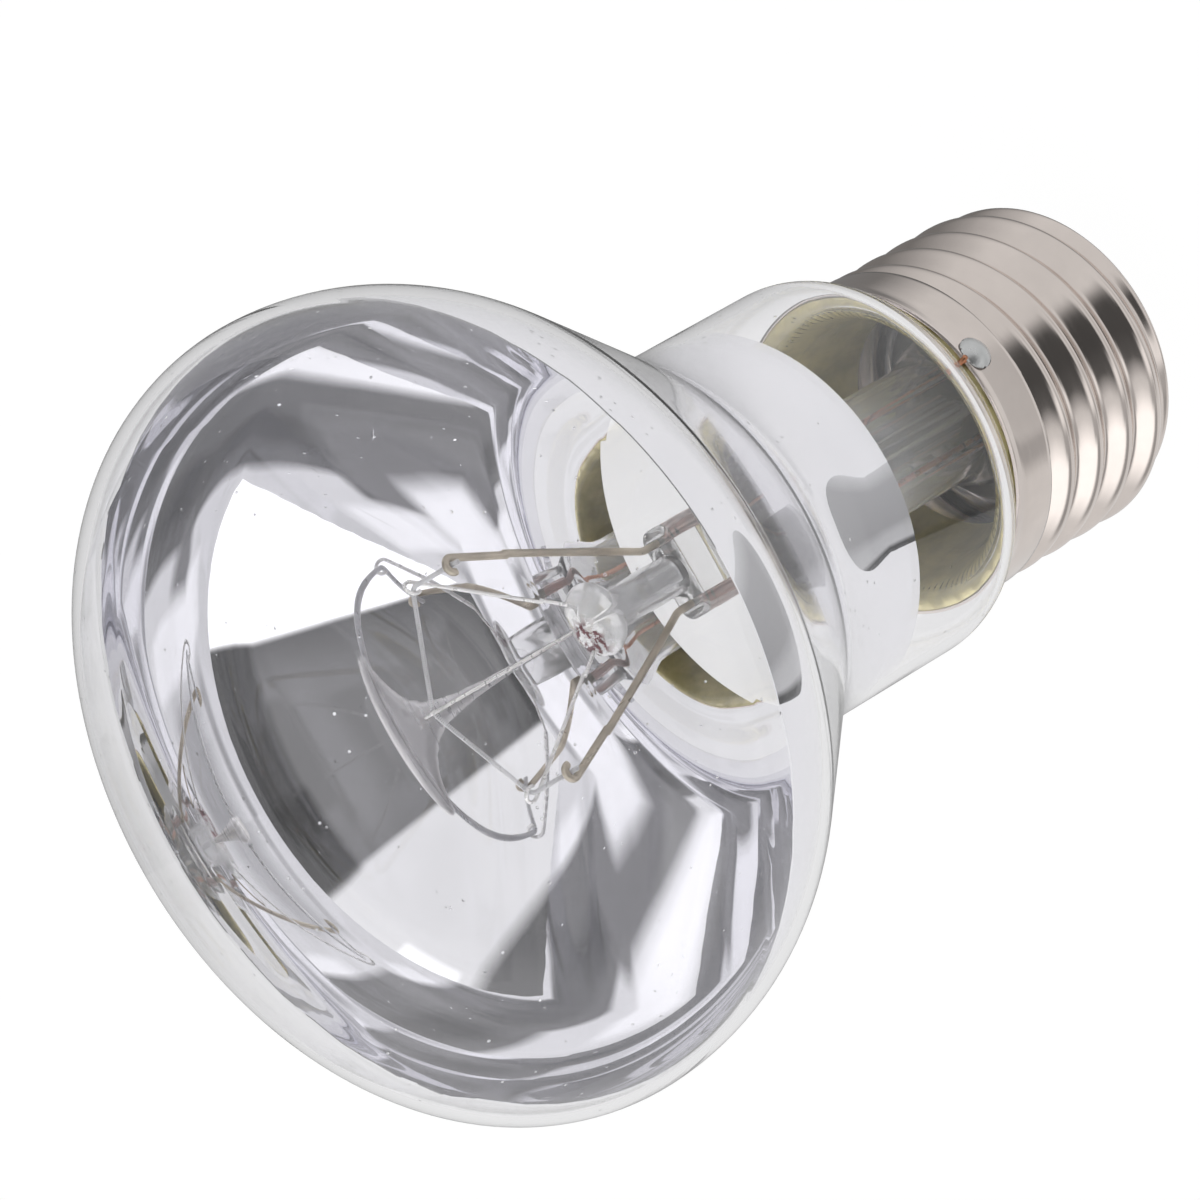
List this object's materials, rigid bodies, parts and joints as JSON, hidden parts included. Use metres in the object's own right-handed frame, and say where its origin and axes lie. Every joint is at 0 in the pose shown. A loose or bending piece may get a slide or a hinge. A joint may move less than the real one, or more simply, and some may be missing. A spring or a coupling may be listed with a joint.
{
  "type": "reflector heat lamp",
  "caption": "Clear-faced reflector heat bulb: blown glass bowl with a mirrored inside, a coiled filament on a glass stem, and a threaded metal screw cap.",
  "frame": {"origin": "tip of the centre contact, on the lamp's axis", "axes": "+Z along the lamp's axis from the cap to the glass face; the inner leads lie in the XZ plane, and the side solder is on the -Y side of the cap"},
  "size_m": [0.063, 0.063, 0.095],
  "materials": {
    "clear_glass": "clear, polished",
    "stem_glass": "clear, fire polished",
    "mirror_film": "vacuum deposited aluminium, mirror bright",
    "nickel_plate": "bright nickel plate",
    "black_glass": "black, glossy",
    "contact_brass": "plain brass",
    "solder": "dull tin solder",
    "cement": "matte olive yellow",
    "copper_wire": "bare copper",
    "seal_copper": "copper clad, oxidised",
    "lead_metal": "drawn nickel iron wire",
    "support_metal": "drawn molybdenum wire",
    "tungsten": "drawn tungsten coil"
  },
  "bodies": {
    "root": {"glass_bulb": "clear_glass", "mirror_coating": "mirror_film", "cap_shell": "nickel_plate", "cap_insulator": "black_glass", "centre_contact": "contact_brass", "centre_solder": "solder", "side_solder": "solder", "basing_cement": "cement", "stem": "stem_glass", "exhaust_tube": "stem_glass", "arbor_rod": "stem_glass", "outer_lead_centre": "copper_wire", "outer_lead_side": "copper_wire", "filament": "tungsten", "support_wire_1": "support_metal", "support_wire_2": "support_metal", "support_wire_3": "support_metal", "inner_lead_1": "lead_metal", "inner_lead_2": "lead_metal", "seal_wire_1": "seal_copper", "seal_wire_2": "seal_copper"}
  },
  "joints": []
}
